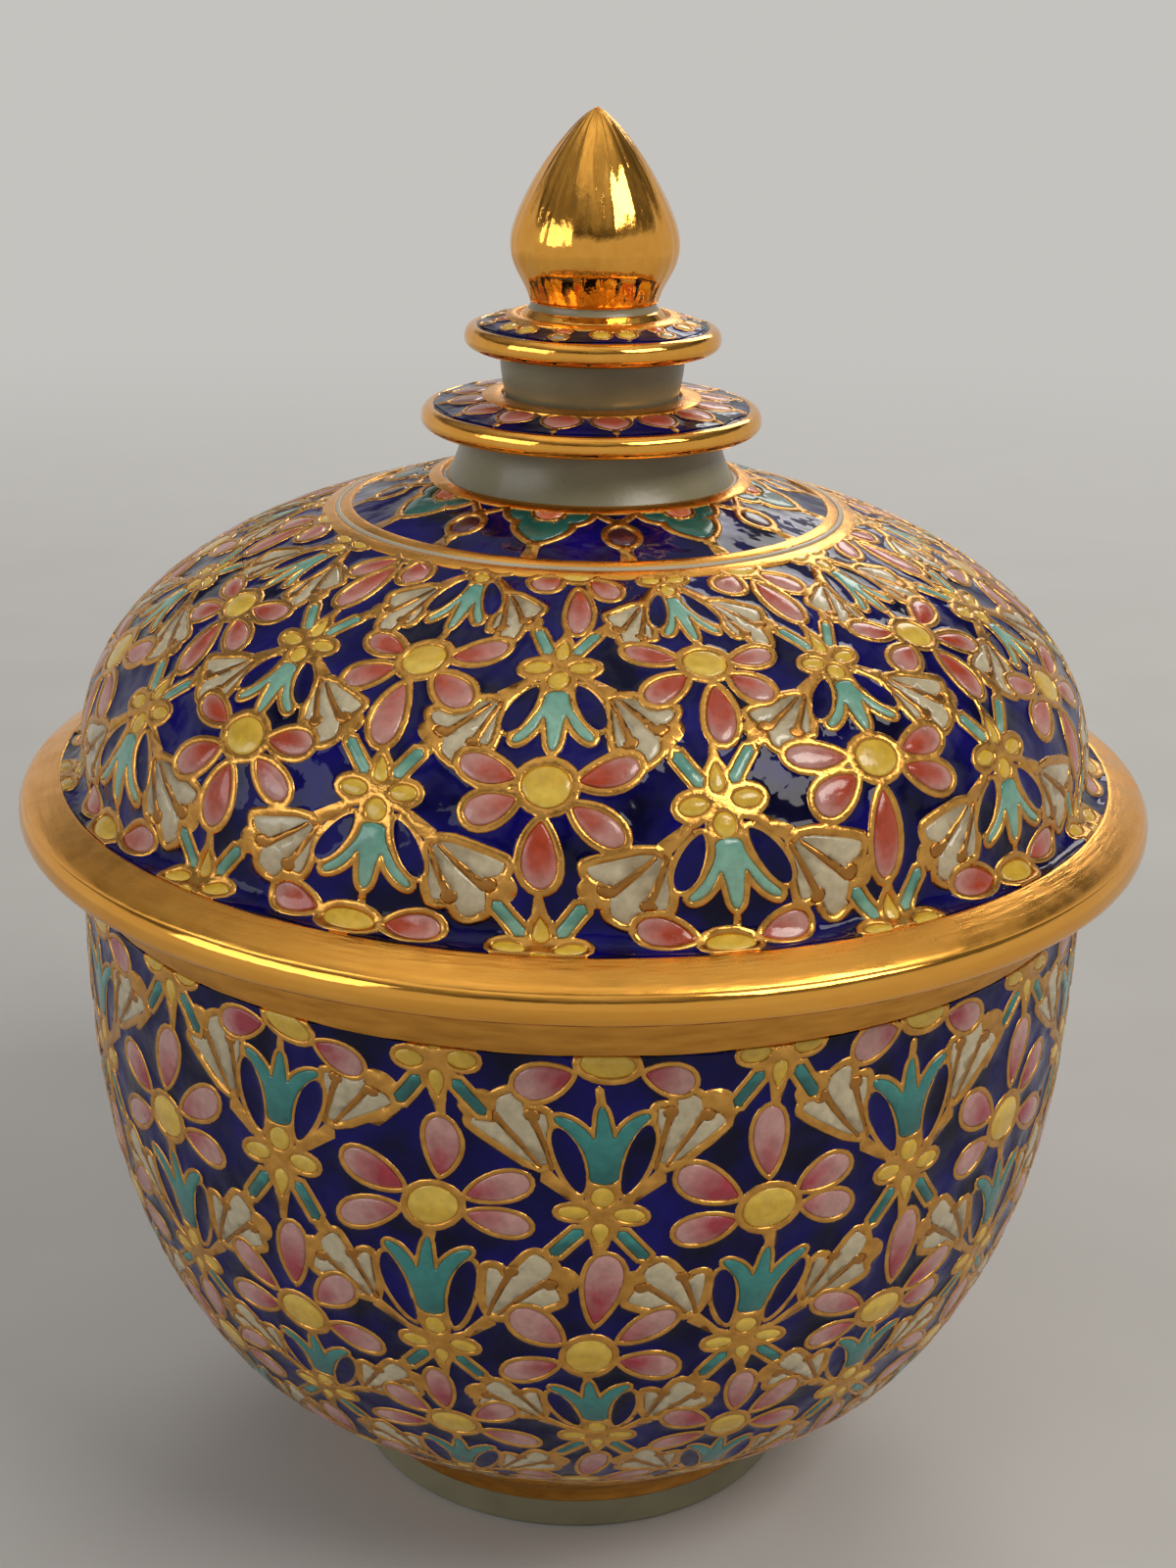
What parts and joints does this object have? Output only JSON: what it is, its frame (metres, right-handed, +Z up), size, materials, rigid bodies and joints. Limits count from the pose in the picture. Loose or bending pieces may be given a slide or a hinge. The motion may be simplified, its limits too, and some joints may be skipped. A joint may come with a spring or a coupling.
{
  "type": "porcelain sugar bowl",
  "caption": "Round footed porcelain sugar bowl with a domed, flanged lid that lifts off, a tiered bud finial and raised floral enamel on cobalt with gilt bands.",
  "frame": {"origin": "centre of the foot ring's flat resting face", "axes": "+Z up along the axis of rotation, through the finial; -Y is the side the picture shows"},
  "size_m": [0.116, 0.116, 0.1447],
  "materials": {
    "cobalt_enamel": "glossy, slightly lumpy deep blue enamel over porcelain",
    "white_glaze": "smooth glossy off-white glaze",
    "bare_porcelain": "smooth off-white porcelain, unglazed where it stands",
    "gilding": "burnished fired gold, satin on the flange",
    "gold_line": "raised gold outlines round the enamels",
    "pink_enamel": "glossy pink enamel shaded with red",
    "yellow_enamel": "glossy yellow enamel",
    "turquoise_enamel": "glossy turquoise enamel",
    "cream_enamel": "glossy cream-white enamel",
    "green_enamel": "glossy blue-green enamel",
    "red_enamel": "glossy orange-red enamel"
  },
  "bodies": {
    "bowl": {"bowl_wall": "cobalt_enamel", "foot_ring": "bare_porcelain"},
    "lid": {"lid_dome": "cobalt_enamel", "locating_collar": "white_glaze", "finial_lower_tier": "gilding", "finial_upper_tier": "gilding", "finial_bud": "gilding"}
  },
  "joints": [
    {"name": "lid_lift", "type": "slide", "parent": "bowl", "child": "lid", "axis": [0, 0, 1], "range_m": [0, 0.06]}
  ]
}
